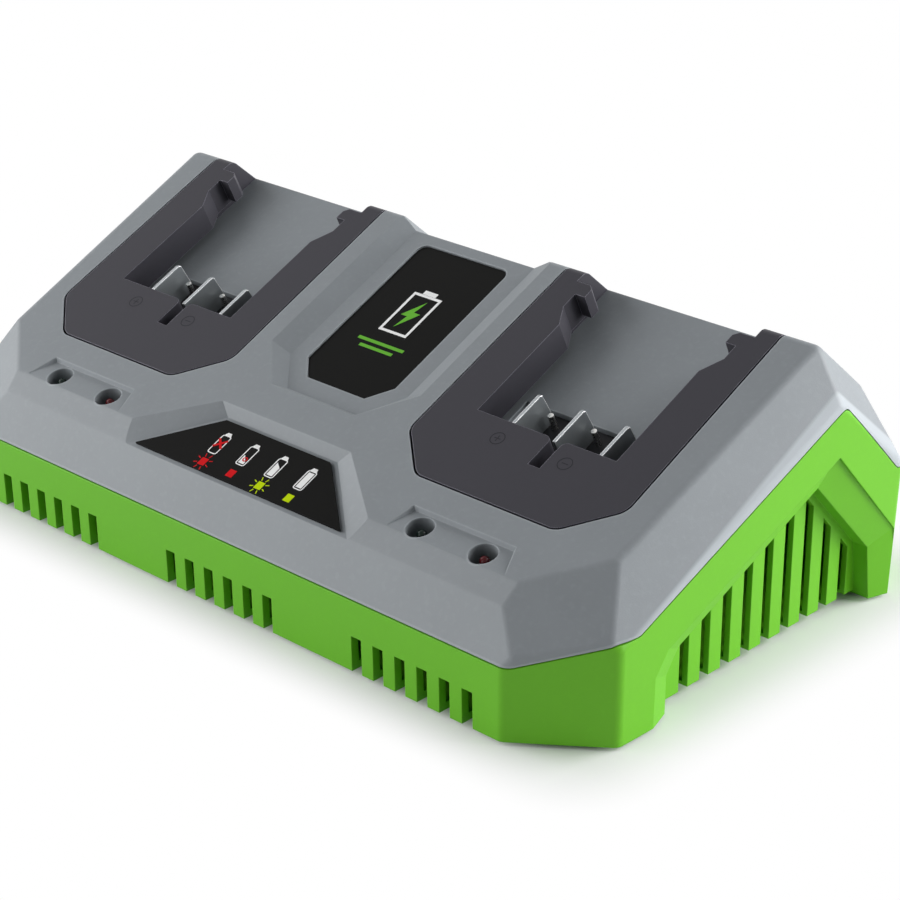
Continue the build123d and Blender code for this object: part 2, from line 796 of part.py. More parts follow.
for name, side in (("left", -1), ("right", 1)):
    for colour, step in (("green", -0.5), ("red", 0.5)):
        lens = rod(-light_seat, -light_drop, light_radius)
        lens = lens + rod(-light_seat, -light_seat + light_flange, light_radius + light_lip)
        for low, high in zip(dome_turns, dome_turns[1:]):
            ends = [light_dome(turn) for turn in (low, high)]
            lens = lens + loft(ends, ruled=True)
        x = side * front_group_x + step * light_spacing
        save(pad_plane.location * Pos(x, light_v, 0) * lens, f"{colour}_light_{name}")
    board = Box(*led_board, align=hanging)
    board = pad_plane.location * Pos(side * front_group_x, light_v, -light_seat) * board
    save(board, f"light_board_{name}")

# ---------------------------------------------------------------- main board and what it carries
board_top = board_z + board_thick
main_board = Pos(0, board_y, board_z) * Box(*board_size, board_thick, align=standing)
for x, y in board_posts:
    main_board = main_board - upright(x, y, board_z - 1, board_top + 1, screw_radius + screw_gap)
save(main_board, "main_board")

core_x, core_y = core_place
core_outer = Pos(core_x, core_y, board_top) * Box(*core_size, align=standing)
window_size = (core_size[0] - 2 * core_leg, core_size[1] + 2, core_size[2] - 2 * core_leg)
core_low = board_top + core_leg
core_high = board_top + core_size[2] - core_leg
core_window = Pos(core_x, core_y, core_low) * Box(*window_size, align=standing)
core_middle = upright(core_x, core_y, core_low - 0.1, core_high + 0.1, core_leg)
save(core_outer - core_window + core_middle, "transformer_core")
coil = upright(core_x, core_y, core_low, core_high, window_size[0] / 2 - coil_gap)
save(coil - upright(core_x, core_y, 0, 90, core_leg + coil_gap), "transformer_winding")
save(upright(*capacitor_place, board_top, board_top + capacitor_size[1], capacitor_size[0]), "bulk_capacitor")
choke = upright(*choke_place, board_top, board_top + choke_size[2], choke_size[0])
save(choke - upright(*choke_place, 0, 90, choke_size[1]), "filter_choke")
sink = Pos(*sink_place, board_top) * Box(sink_size[0], sink_back, sink_size[2], align=standing)
for step in ring(sink_fins, sink_size[0] / sink_fins):
    fin = Box(sink_fin_thick, sink_size[1], sink_size[2], align=(Align.CENTER, Align.MIN, Align.MIN))
    sink = sink + Pos(sink_place[0] + step, sink_place[1], board_top) * fin
save(sink, "heat_sink")

# ---------------------------------------------------------------- fan
fan_centre_z = floor_top + fan_side / 2
fan_axis = Plane(origin=(fan_x, fan_y, fan_centre_z), x_dir=(0, 1, 0), z_dir=(-1, 0, 0))


def along_fan(low, high, radius):
    """Cylinder on the fan axis, between two depths from its inner face."""
    return Pos(0, 0, low) * Cylinder(radius, high - low, align=standing)


casing = Box(fan_side, fan_side, fan_depth, align=standing) - along_fan(-1, fan_depth + 1, fan_bore)
arm_size = (fan_bore - hub_radius + 2, fan_arm, stator_thick)
for turn in range(4):
    arm = Pos((fan_bore + hub_radius) / 2, 0, 0) * Box(*arm_size, align=standing)
    casing = casing + Rot(0, 0, 45 + 90 * turn) * arm
casing = casing + along_fan(0, stator_thick, hub_radius) + along_fan(0, fan_depth - 2.5, bearing_radius)
casing = casing - along_fan(-1, fan_depth, shaft_radius + shaft_gap)
save(fan_axis.location * casing, "fan_frame")

hub_low = stator_thick + fan_face_gap
hub_high = fan_depth - fan_face_gap / 2
hub_cup = along_fan(hub_low - 1, hub_high - hub_wall, hub_radius - hub_wall)
rotor = along_fan(hub_low, hub_high, hub_radius) - hub_cup
rotor = rotor + along_fan(0.4, hub_high - 0.5, shaft_radius)
reach = fan_bore - fan_tip_gap
sweep_room = along_fan(hub_low, hub_high, reach)
for turn in range(fan_blades):
    vane = Pos((hub_radius + reach) / 2, 0, (hub_low + hub_high) / 2)
    vane = vane * Rot(fan_pitch, 0, 0) * Box(reach - hub_radius + 1.2, fan_chord, fan_vane_thick)
    rotor = rotor + ((Rot(0, 0, 360 / fan_blades * turn) * vane) & sweep_room)
save(fan_axis.location * rotor, "fan_rotor")

# ---------------------------------------------------------------- feet, screws, cord bush
rubber_feet = Part()
for x, y in feet:
    rubber_feet = rubber_feet + upright(x, y, 0, foot_thick, foot_radius, 32)
save(rubber_feet, "rubber_feet")
case_screws = Part()
for x, y in case_posts:
    seat = case_joint_z - case_seat
    case_screws = case_screws + upright(x, y, seat - case_head_thick, seat, case_screw_head)
    case_screws = case_screws + upright(x, y, seat, case_joint_z + case_screw_reach - 1, case_screw_radius)
save(case_screws, "case_screws")
board_screws = Part()
for x, y in board_posts:
    board_screws = board_screws + upright(x, y, board_top, board_top + head_thick, screw_head)
    board_screws = board_screws + upright(x, y, board_z - board_screw_reach + 1, board_top, screw_radius)
save(board_screws, "board_screws")
rail_screws = Part()
for x, v in rail_screw_spots:
    under = -bay_depth - wall
    screw = rod(under, -bay_depth + rail_screw_reach - 1, screw_radius)
    screw = screw + rod(under - head_thick, under, screw_head)
    rail_screws = rail_screws + slope.location * Pos(x, v, 0) * screw
save(rail_screws, "rail_screws")
wall_y = rear_y - wall_draft * (part_rear[1] - cord_z)
outward = Plane(origin=(cord_x, wall_y, cord_z), x_dir=(-1, 0, 0), z_dir=(0, 1, 0))
bush = Pos(0, 0, bush_play) * Cylinder(bush_flange, bush_flange_thick, align=standing)
inner_flange = Cylinder(bush_flange, bush_flange_thick, align=hanging)
bush = bush + Pos(0, 0, -wall - 2 * bush_play) * inner_flange
bush = bush + Pos(0, 0, -wall - 1) * Cylinder(bush_radius - bush_play, wall + 2, align=standing)
bush = bush - Cylinder(cord_bore, 40)
save(outward.location * bush, "cord_bush")
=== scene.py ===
import json
import math

import bmesh
import bpy
from mathutils import Matrix, Vector


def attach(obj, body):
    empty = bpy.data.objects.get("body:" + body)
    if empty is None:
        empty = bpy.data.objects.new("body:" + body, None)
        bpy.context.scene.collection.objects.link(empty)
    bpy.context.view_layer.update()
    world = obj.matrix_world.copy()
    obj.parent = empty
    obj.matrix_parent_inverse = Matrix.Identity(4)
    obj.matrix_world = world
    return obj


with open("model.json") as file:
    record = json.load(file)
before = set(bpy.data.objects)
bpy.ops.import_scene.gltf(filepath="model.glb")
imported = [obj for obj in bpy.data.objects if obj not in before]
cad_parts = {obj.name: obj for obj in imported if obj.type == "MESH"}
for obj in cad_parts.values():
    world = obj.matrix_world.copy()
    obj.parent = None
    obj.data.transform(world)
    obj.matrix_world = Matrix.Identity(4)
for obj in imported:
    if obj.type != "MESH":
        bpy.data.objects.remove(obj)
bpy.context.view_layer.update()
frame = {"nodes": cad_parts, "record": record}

# Looks for the twin-bay battery charger. Metres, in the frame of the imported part.
MM = 0.001
BODY = "charger"

# ---------------------------------------------------------------- places, in millimetres
SLOPE_ANGLE = math.radians(24.5)     # battery slope from the horizontal
SLOPE_ORIGIN = (0.0, -66.0, 40.6)    # middle of the crease
PRINT = 0.05                         # thickness of printed film
OVER_PRINT = 0.03                    # and of a second colour on top of it

# The indicator plate: four battery signs, with a signal square below each.
WINDOW_TOP = -1.95                   # top of the plate, below the slope
ICON_COUNT = 4
ICON_PITCH = 11.6
ICON_FIRST = -15.8
BATTERY_SIZE = (3.6, 7.4)
BATTERY_FOOT = 0.55
BATTERY_CAP = (2.5, 1.0)
BATTERY_CAP_GAP = 0.02
BATTERY_LINE = 0.34
BATTERY_ROUND = 0.8
CHARGE_INSET = 0.75                  # filled part of a battery sign, inside its outline
CHARGE_LEVELS = {1: (0.9, 3.1), 2: (3.4, 4.9)}   # its height at the right and left, by sign
CROSS_HALF = 1.7
CROSS_V = (3.0, 6.2)
CROSS_LINE = 0.75
CROSS_THICK = {"fault_cross": OVER_PRINT, "fault_cross_back": 0.02}
RING_AT = (0.3, 1.7)                 # from the middle and foot of the filled part
RING_RADII = (0.85, 0.5)
SIGNAL_V = -2.9
SIGNAL_SHIFT = 0.2
SIGNAL_SIZE = (2.5, 2.7)
RAY_COUNT = 8                        # rays round a flashing signal
RAY_REACH = (1.9, 3.1)
RAY_LINE = 0.3

# The label plate: a battery with a bolt, and two bars below it.
LABEL_TOP = -3.7                     # top of the plate, below the slope
CHARGE_SIGN = (0.0, 62.0, 11.0, 17.0)   # middle, foot, width and height
CHARGE_SIGN_LINE = 0.9
CHARGE_SIGN_CAP = (5.0, 1.6)
CHARGE_SIGN_CAP_GAP = 0.1
BOLT = ((1.6, 76.6), (-3.0, 69.6), (-0.5, 69.6), (-1.6, 64.4), (3.0, 71.6), (0.5, 71.6))
BAR_FEET = (56.6, 54.2)
BAR_WIDTHS = (18.0, 13.0)
BAR_HEIGHT = 1.1

# The rail frames: polarity marks in front of the blades, drawn as thin dark sheets of painted shade for
# their engraved grooves.
BAY_CENTRES = {"left": -74.8, "right": 74.0}
MARK_V = 38.4
MARK_STEP = {"plus": -11.8, "minus": 12.0}
MARK_RADIUS = 2.25
MARK_LINE = 0.28
MARK_ARM = 1.1
MARK_THICK = 0.03
PLUS_THICK = 0.035

# The top shell: a painted highlight on its smooth side lip, and painted highlight lines on its sharp outer
# edges.
SIDE_LIP_HIGHLIGHT = (130.0, 130.7)            # distances from the middle
LIP_HIGHLIGHT_TONE = 1.55
RIM_HIGHLIGHT_REACH = 0.7
RIM_HIGHLIGHT_TONE = 2.0
SOFT_EDGE = 0.35                     # rounding of moulded edges in the shading

# ---------------------------------------------------------------- camera and light
# In millimetres, apart from the lines that say metres.
CAMERA_AT = (468.96, -479.64, 328.49)
CAMERA_TO = (2.326, 13.799, 19.572)
CAMERA_ROLL = math.radians(0.143)
CAMERA_LENS = 99.47
CAMERA_SENSOR = 36.0
CAMERA_CLIP = (0.01, 50.0)           # metres

LAMPS = {
    # name: (azimuth, elevation, distance, width and height in metres, watts)
    "left_softbox": (-60, 18, 1.3, 1.0, 1.0, 14.5),
    "front_fill": (-20, 18, 1.3, 1.0, 0.8, 5.0),
    "back_softbox": (138, 24, 1.2, 0.9, 0.8, 18.5),
    "right_fill": (112, 10, 1.2, 0.9, 0.4, 4.5),
}
LAMP_AIM = (0.0, 0.0, 30.0)
AMBIENT = (0.94, 0.97, 1.0)
AMBIENT_LEVEL = 0.08
FLOOR_COLOUR = (0.82, 0.82, 0.82)
FLOOR_HALF = 6.0                     # metres
FLOOR_CLEAR = (122.0, 68.0)          # half sides of the floor under the charger, which stays plain
FLOOR_FADE = 30.0                    # run over which it turns into the white backdrop


# ---------------------------------------------------------------- slope frame
def on_slope(x, v, h=0.0):
    """A point given across, up and above the battery slope, in millimetres."""
    rise, run = math.sin(SLOPE_ANGLE), math.cos(SLOPE_ANGLE)
    ox, oy, oz = SLOPE_ORIGIN
    return Vector((ox + x, oy + v * run - h * rise, oz + v * rise + h * run)) * MM


# ---------------------------------------------------------------- shader nodes
class Nodes:
    """The nodes of one material or world."""

    def __init__(self, tree):
        self.nodes, self.links = tree.nodes, tree.links

    def add(self, kind, **values):
        """A node; values name its settings, or its sockets by name."""
        node = self.nodes.new("ShaderNode" + kind)
        for key, value in values.items():
            if hasattr(node, key):
                setattr(node, key, value)
            else:
                self.feed(value, node.inputs[key.replace("_", " ")])
        return node

    def feed(self, value, socket):
        """Gives a socket the output of another node, or a plain value."""
        if isinstance(value, bpy.types.NodeSocket):
            self.links.new(value, socket)
        else:
            socket.default_value = value

    def math(self, operation, first, second=0.0):
        """Result of one sum on outputs or numbers."""
        node = self.add("Math", operation=operation)
        self.feed(first, node.inputs[0])
        self.feed(second, node.inputs[1])
        return node.outputs[0]

    def blend(self, share, first, second):
        """A mix of two shaders: the first at zero, the second at one."""
        node = self.add("MixShader", Fac=share)
        self.links.new(first.outputs[0], node.inputs[1])
        self.links.new(second.outputs[0], node.inputs[2])
        return node.outputs[0]

    def straight_rays(self):
        """One for camera, glossy and transmission rays, which see the white backdrop; zero for others."""
        path = self.add("LightPath").outputs
        shiny = self.math("MAXIMUM", path["Is Glossy Ray"], path["Is Transmission Ray"])
        return self.math("MAXIMUM", path["Is Camera Ray"], shiny)


class Graph(Nodes):
    """One material with the Principled shader, and the nodes that feed it."""

    def __init__(self, name, **shader):
        self.material = bpy.data.materials.new(name)
        self.material.use_nodes = True
        super().__init__(self.material.node_tree)
        self.shader = self.nodes["Principled BSDF"]
        for socket, value in shader.items():
            self.shader.inputs[socket.replace("_", " ")].default_value = value
        self.place = self.add("TexCoord").outputs["Object"]

    def stretched(self, scale, turn=(0, 0, 0)):
        """Places turned and scaled, for noise that is long in one direction."""
        node = self.add("Mapping", Vector=self.place, Rotation=turn, Scale=scale)
        return node.outputs["Vector"]

    def noise(self, size, detail=3.0, rough=0.5, place=None):
        """Noise with features of a size in millimetres, from 0 to 1."""
        where = place or self.place
        node = self.add("TexNoise", Vector=where, Scale=1 / (size * MM), Detail=detail, Roughness=rough)
        return node.outputs["Fac"]

    def scale(self, value, low, high, start=0.0, end=1.0):
        """A value from start to end, spread over low to high."""
        node = self.add("MapRange", Value=value, From_Min=start, From_Max=end, To_Min=low, To_Max=high)
        return node.outputs["Result"]

    def mix(self, share, first, second):
        """A mix of two colours: the first at zero, the second at one."""
        node = self.add("Mix", data_type="RGBA")
        for value, index in ((share, 0), (first, 6), (second, 7)):
            self.feed(value, node.inputs[index])
        return node.outputs[2]

    def soft_edges(self, radius):
        """Normal rounded over the edges, and a mask of those edges."""
        rounded = self.add("Bevel", samples=6, Radius=radius * MM).outputs["Normal"]
        plain = self.add("NewGeometry").outputs["Normal"]
        dot = self.add("VectorMath", operation="DOT_PRODUCT")
        self.links.new(rounded, dot.inputs[0])
        self.links.new(plain, dot.inputs[1])
        turn = self.math("SUBTRACT", 1.0, dot.outputs["Value"])
        return rounded, self.scale(turn, 0.0, 1.0, 0.01, 0.25)

    def outer_edges(self, reach):
        """Mask of the sharp edges that stand out, to a distance in millimetres, for painted highlight
        lines.
        """
        node = self.add("AmbientOcclusion", samples=8, inside=True, only_local=True, Distance=reach * MM)
        return self.scale(node.outputs["AO"], 1.0, 0.0, 0.62, 0.94)

    def side_lip_highlight(self, start, end):
        """Mask of the side walls for a painted highlight: zero to one between two distances from the
        middle, in millimetres.
        """
        across = self.math("ABSOLUTE", self.add("SeparateXYZ", Vector=self.place).outputs["X"])
        return self.scale(across, 0.0, 1.0, start * MM, end * MM)

    def bump(self, height, depth, normal=None):
        """Normal of a relief with a depth in millimetres."""
        node = self.add("Bump", Height=height, Distance=depth * MM, Strength=1.0)
        if normal is not None:
            self.links.new(normal, node.inputs["Normal"])
        return node.outputs["Normal"]

    def finish(self, colour, roughness, normal):
        """Joins the three maps to the shader, and gives the material."""
        for value, name in ((colour, "Base Color"), (roughness, "Roughness"), (normal, "Normal")):
            self.links.new(value, self.shader.inputs[name])
        return self.material


def linear(red, green, blue):
    """A colour written as on screen, 0 to 255, for a shader."""
    def channel(value):
        value = value / 255
        return value / 12.92 if value <= 0.04045 else ((value + 0.055) / 1.055) ** 2.4
    return (channel(red), channel(green), channel(blue), 1.0)


def shade(colour, factor):
    """A colour made darker or lighter."""
    return tuple(min(1.0, c * factor) for c in colour[:3]) + (1.0,)


# ---------------------------------------------------------------- materials
def moulded(name, colour, roughness, gloss=0.32, grain_size=0.38, grain_depth=0.02, mottle=0.035,
            cloud_size=34.0, edge=0.12, wear_and_highlight_tone=1.9, lip_highlight=None, rim_highlight=0.0):
    """Moulded plastic: spark-eroded grain, faint flow clouds, and edges made lighter, partly as rubbed wear
    and partly as painted highlight.
    """
    graph = Graph(name, IOR=1.46, Specular_IOR_Level=gloss)
    grain = graph.noise(grain_size, 4.0, 0.6)
    cloud = graph.noise(cloud_size, 4.0, 0.6)
    speck = graph.noise(1.7, 2.0)
    normal, edges = graph.soft_edges(SOFT_EDGE)
    tone = graph.mix(cloud, shade(colour, 1 - mottle), shade(colour, 1 + mottle))
    tone = graph.mix(graph.scale(speck, 0.0, 0.5, 0.52, 0.75), tone, shade(colour, 1 + 1.6 * mottle))
    # Edges made lighter: partly rubbed wear, partly a painted highlight where the edges catch light.
    tone = graph.mix(graph.math("MULTIPLY", edges, edge), tone, shade(colour, wear_and_highlight_tone))
    # Painted highlight: light lines along the sharp outer edges.
    if rim_highlight:
        line = graph.math("MULTIPLY", graph.outer_edges(RIM_HIGHLIGHT_REACH), rim_highlight)
        tone = graph.mix(line, tone, shade(colour, RIM_HIGHLIGHT_TONE))
    # Painted highlight: a lighter strip along the side lip of the shell.
    if lip_highlight:
        tone = graph.mix(graph.side_lip_highlight(*lip_highlight), tone, shade(colour, LIP_HIGHLIGHT_TONE))
    sheen = graph.scale(cloud, roughness - 0.03, roughness + 0.03)
    rough = graph.math("ADD", graph.scale(grain, -0.07, 0.07), sheen)
    return graph.finish(tone, rough, graph.bump(grain, grain_depth, normal))


def contact_metal(name, colour):
    """Rolled and tinned contact strip, with fine lines along the slope, and a painted highlight along its
    edges.
    """
    graph = Graph(name, Metallic=1.0)
    lines = graph.noise(1.0, 3.0, 0.6, graph.stretched((1.0, 0.08, 6.0), (-SLOPE_ANGLE, 0, 0)))
    smear = graph.noise(6.0, 3.0)
    normal, edges = graph.soft_edges(0.42)
    tone = graph.mix(smear, shade(colour, 0.86), colour)
    # Painted highlight: the edges of the blades turn near white.
    tone = graph.mix(edges, tone, (0.98, 0.98, 0.98, 1))
    return graph.finish(tone, graph.scale(lines, 0.42, 0.6), graph.bump(lines, 0.01, normal))


def turned_metal(name, colour, roughness=0.32):
    """Zinc-plated or turned metal with fine scuffs."""
    graph = Graph(name, Metallic=1.0)
    scuff = graph.noise(0.5, 4.0, 0.65)
    cloud = graph.noise(5.0, 2.0)
    normal = graph.soft_edges(0.12)[0]
    tone = graph.mix(cloud, shade(colour, 0.8), colour)
    rough = graph.scale(scuff, roughness - 0.08, roughness + 0.12)
    return graph.finish(tone, rough, graph.bump(scuff, 0.012, normal))


def glossy_film(name, colour, roughness=0.34):
    """Printed polycarbonate film: deep colour, soft orange peel."""
    graph = Graph(name, IOR=1.5, Specular_IOR_Level=0.06)
    peel = graph.noise(2.4, 2.0)
    dust = graph.noise(0.9, 4.0, 0.7)
    tone = graph.mix(graph.scale(dust, 0.0, 0.35, 0.5, 0.85), colour, shade(colour, 2.2))
    rough = graph.scale(peel, roughness - 0.05, roughness + 0.06)
    return graph.finish(tone, rough, graph.bump(peel, 0.008))


def ink(name, colour, roughness=0.5):
    """Screen-printed ink with a slightly uneven film."""
    graph = Graph(name, IOR=1.45, Specular_IOR_Level=0.12)
    grain = graph.noise(0.35, 3.0)
    tone = graph.mix(grain, shade(colour, 0.93), shade(colour, 1.04))
    rough = graph.scale(grain, roughness - 0.06, roughness + 0.06)
    return graph.finish(tone, rough, graph.bump(grain, 0.004))


def lens_plastic(name, colour):
    """Tinted epoxy of a charge light that is off."""
    graph = Graph(name, IOR=1.5, Transmission_Weight=0.06, Specular_IOR_Level=0.14)
    swirl = graph.noise(0.8, 2.0)
    tone = graph.mix(swirl, shade(colour, 0.8), shade(colour, 1.15))
    return graph.finish(tone, graph.scale(swirl, 0.12, 0.2), graph.bump(swirl, 0.003))


def circuit_board(name):
    """Solder mask over copper tracks, with tinned pads."""
    graph = Graph(name, IOR=1.5)
    tracks = graph.add("TexBrick", Vector=graph.place, Scale=1 / (9 * MM), Mortar_Size=0.03,
                   Brick_Width=0.7, Row_Height=0.22)
    pads = graph.add("TexVoronoi", Vector=graph.place, Scale=1 / (3.4 * MM)).outputs["Distance"]
    fibre = graph.noise(0.4, 3.0)
    mask = graph.mix(fibre, linear(10, 66, 34), linear(16, 84, 44))
    mask = graph.mix(graph.scale(tracks.outputs["Fac"], 0.0, 0.8), mask, linear(36, 120, 60))
    tone = graph.mix(graph.scale(pads, 1.0, 0.0, 0.10, 0.16), mask, linear(196, 190, 170))
    return graph.finish(tone, graph.scale(fibre, 0.3, 0.45), graph.bump(tracks.outputs["Fac"], 0.03))


def wound(name, colour, pitch=0.8):
    """Taped or enamelled winding, with the turns showing."""
    graph = Graph(name, IOR=1.5)
    turns = graph.add("TexWave", Vector=graph.place, bands_direction="Z",
                      Scale=0.32 / (pitch * MM), Distortion=0.6)
    cloud = graph.noise(3.0, 3.0)
    tone = graph.mix(cloud, shade(colour, 0.75), colour)
    return graph.finish(tone, graph.scale(cloud, 0.3, 0.5), graph.bump(turns.outputs["Fac"], 0.12))


def sintered(name, colour):
    """Ferrite: dark, porous and slightly glittering."""
    graph = Graph(name, IOR=1.8)
    pores = graph.noise(0.5, 5.0, 0.7)
    tone = graph.mix(pores, shade(colour, 0.7), shade(colour, 1.5))
    return graph.finish(tone, graph.scale(pores, 0.4, 0.75), graph.bump(pores, 0.03))


def rubber(name, colour):
    """Matt rubber with a fine grain and dust in its hollows."""
    graph = Graph(name, IOR=1.5)
    grain = graph.noise(0.6, 4.0, 0.6)
    dust = graph.noise(7.0, 3.0)
    normal, edges = graph.soft_edges(0.4)
    tone = graph.mix(graph.scale(dust, 0.0, 0.5, 0.4, 0.9), colour, shade(colour, 2.0))
    tone = graph.mix(graph.math("MULTIPLY", edges, 0.3), tone, shade(colour, 3.0))
    return graph.finish(tone, graph.scale(grain, 0.62, 0.85), graph.bump(grain, 0.03, normal))


MATERIALS = {
    "green_shell": moulded("green_moulded", linear(102, 178, 32), 0.46, edge=0.2),
    "grey_shell": moulded("grey_moulded", linear(137, 142, 146), 0.5, grain_depth=0.028, mottle=0.07,
                          cloud_size=14.0, edge=0.2, lip_highlight=SIDE_LIP_HIGHLIGHT, rim_highlight=0.3),
    # The dark trim's edges are made much lighter: a painted highlight on the lips of the rail frames.
    "dark_trim": moulded("dark_moulded", linear(62, 61, 67), 0.42, gloss=0.16, grain_size=0.3,
                         grain_depth=0.012, edge=0.85, wear_and_highlight_tone=6.5),
    "terminal_block": moulded("terminal_moulded", linear(38, 38, 41), 0.45, gloss=0.16, grain_size=0.3,
                              grain_depth=0.01, edge=0.05),
    "contact_blade": contact_metal("tinned_strip", linear(158, 163, 166)),
    "contact_pin": turned_metal("tinned_pin", linear(215, 215, 212), 0.25),
    "label_plate": glossy_film("label_film", linear(8, 8, 7)),
    "indicator_plate": glossy_film("indicator_film", linear(8, 8, 7)),
    "green_light": lens_plastic("green_epoxy", linear(10, 34, 26)),
    "red_light": lens_plastic("red_epoxy", linear(92, 6, 18)),
    "circuit_board": circuit_board("solder_mask"),
    "ferrite": sintered("ferrite_core", linear(52, 52, 54)),
    "choke_winding": wound("enamelled_wire", linear(176, 96, 40)),
    "winding": wound("taped_winding", linear(214, 186, 70), 1.4),
    "capacitor_sleeve": glossy_film("shrink_sleeve", linear(24, 26, 46), 0.25),
    "heat_sink": turned_metal("extruded_aluminium", linear(200, 202, 205), 0.38),
    "fan_plastic": moulded("fan_moulded", linear(34, 34, 36), 0.38, grain_size=0.4, grain_depth=0.006,
                           edge=0.05),
    "foot_rubber": rubber("foot_compound", linear(38, 38, 39)),
    "bush_rubber": rubber("bush_compound", linear(30, 30, 31)),
    "screw_steel": turned_metal("zinc_plate", linear(196, 198, 200)),
}
INKS = {
    "white": ink("white_ink", linear(255, 255, 254)),
    "red": ink("red_ink", linear(214, 16, 24)),
    "lime": ink("lime_ink", linear(200, 226, 0)),
    "green": ink("green_ink", linear(108, 186, 60)),
    # Painted shade: a dark print standing for the shade in engraved grooves.
    "shadow": ink("engraved_groove_shade", linear(47, 46, 51)),
}


def dress_nodes():
    """Every carried-over node takes the material of its slot."""
    slots = {part["node"]: part["material_slot"] for part in frame["record"]["subparts"]}
    for name, node in frame["nodes"].items():
        node.data.materials.clear()
        node.data.materials.append(MATERIALS[slots[name]])


# ---------------------------------------------------------------- printed marks
def loop(outline, height, into):
    """Vertices of one outline on the slope."""
    return [into.verts.new(on_slope(x, v, height)) for x, v in outline]


def band(first, second, into):
    """Faces between two closed loops."""
    count = len(first)
    for i in range(count):
        j = (i + 1) % count
        into.faces.new((first[i], first[j], second[j], second[i]))


def slab(outline, hole, height, thickness, into):
    """Adds a flat piece to a mesh. A hole has as many points as the outline round it; None is no hole."""
    low = loop(outline, height, into)
    high = loop(outline, height + thickness, into)
    band(low, high, into)
    if hole:
        low_hole = loop(hole, height, into)
        high_hole = loop(hole, height + thickness, into)
        band(high, high_hole, into)
        band(high_hole, low_hole, into)
        band(low_hole, low, into)
    else:
        into.faces.new(high)
        into.faces.new(list(reversed(low)))


def printed(name, rings, height, colour, thickness=PRINT):
    """One printed piece that rides on the charger, made of pairs: an outline and its hole or None."""
    mesh = bpy.data.meshes.new(name)
    shape = bmesh.new()
    for outline, hole in rings:
        slab(outline, hole, height, thickness, shape)
    bmesh.ops.recalc_face_normals(shape, faces=shape.faces)
    shape.to_mesh(mesh)
    shape.free()
    piece = bpy.data.objects.new(name, mesh)
    bpy.context.scene.collection.objects.link(piece)
    mesh.materials.append(colour)
    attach(piece, BODY)


def box_outline(x, v, width, height):
    """Upright box: x is its middle, v its foot."""
    left, right, top = x - width / 2, x + width / 2, v + height
    return [(left, v), (right, v), (right, top), (left, top)]


def circle(x, v, radius, steps=40):
    """Closed outline of a circle."""
    return [(x + radius * math.cos(2 * math.pi * i / steps), v + radius * math.sin(2 * math.pi * i / steps))
            for i in range(steps)]


def stroke(start, end, width):
    """Straight bar between two points."""
    (x0, v0), (x1, v1) = start, end
    length = math.hypot(x1 - x0, v1 - v0)
    dx, dv = (x1 - x0) / length * width / 2, (v1 - v0) / length * width / 2
    return [(x0 + dv, v0 - dx), (x1 + dv, v1 - dx), (x1 - dv, v1 + dx), (x0 - dv, v0 + dx)]


def rounded_box(x, v, width, height, radius):
    """Upright box with round corners: x is its middle, v its foot."""
    outline = []
    corners = ((1, 0, -90), (1, 1, 0), (0, 1, 90), (0, 0, 180))
    for right, top, start in corners:
        cx = x + (width / 2 - radius) * (1 if right else -1)
        cv = v + (height - radius if top else radius)
        for step in range(4):
            angle = math.radians(start + 30 * step)
            outline.append((cx + radius * math.cos(angle), cv + radius * math.sin(angle)))
    return outline


def battery(x):
    """Outline and cap of a battery sign."""
    width, height = BATTERY_SIZE
    line = BATTERY_LINE
    outer = rounded_box(x, BATTERY_FOOT, width, height, BATTERY_ROUND)
    inner = rounded_box(x, BATTERY_FOOT + line, width - 2 * line, height - 2 * line, BATTERY_ROUND - line)
    half, tall = BATTERY_CAP[0] / 2, BATTERY_CAP[1]
    foot = BATTERY_FOOT + height + BATTERY_CAP_GAP
    top, top_half = foot + tall, half - tall / 2
    cap = [(x - half, foot), (x + half, foot), (x + top_half, top), (x - top_half, top)]
    return [(outer, inner), (cap, None)]


def burst(x, v):
    """Short rays round a signal square, for a flashing light."""
    rays = []
    for i in range(RAY_COUNT):
        angle = 2 * math.pi * (i + 0.5) / RAY_COUNT
        near, far = ((x + reach * math.cos(angle), v + reach * math.sin(angle)) for reach in RAY_REACH)
        rays.append((stroke(near, far, RAY_LINE), None))
    return rays


def battery_signs(xs, foot, top):
    """Four white batteries: two part filled, the last one full."""
    half = BATTERY_SIZE[0] / 2 - CHARGE_INSET
    white = []
    for x in xs:
        white = white + battery(x)
    for index, (low, high) in CHARGE_LEVELS.items():
        left, right = xs[index] - half, xs[index] + half
        white.append(([(left, foot), (right, foot), (right, foot + low), (left, foot + high)], None))
    white.append((box_outline(xs[-1], foot, 2 * half, top - foot), None))
    printed("battery_signs", white, WINDOW_TOP, INKS["white"])


def fault_cross(x):
    """Red cross over the first battery."""
    low, high = CROSS_V
    left, right = x - CROSS_HALF, x + CROSS_HALF
    bars = (((left, low), (right, high)), ((left, high), (right, low)))
    for (name, thickness), (start, end) in zip(CROSS_THICK.items(), bars):
        bar = (stroke(start, end, CROSS_LINE), None)
        printed(name, [bar], WINDOW_TOP + PRINT, INKS["red"], thickness)


def charging_ring(x, foot):
    """Red ring over the charge of the second battery."""
    step, lift = RING_AT
    outer, inner = (circle(x + step, foot + lift, radius, 24) for radius in RING_RADII)
    over = WINDOW_TOP + PRINT
    printed("charging_ring", [(outer, inner)], over, INKS["red"], OVER_PRINT)


def signal_squares(xs):
    """A signal square below each battery, the first of each colour with rays."""
    foot = SIGNAL_V - SIGNAL_SIZE[1] / 2
    for colour, pair in (("red", xs[:2]), ("lime", xs[2:])):
        squares = [(box_outline(x + SIGNAL_SHIFT, foot, *SIGNAL_SIZE), None) for x in pair]
        squares = squares + burst(pair[0] + SIGNAL_SHIFT, SIGNAL_V)
        printed(f"{colour}_signals", squares, WINDOW_TOP, INKS[colour])


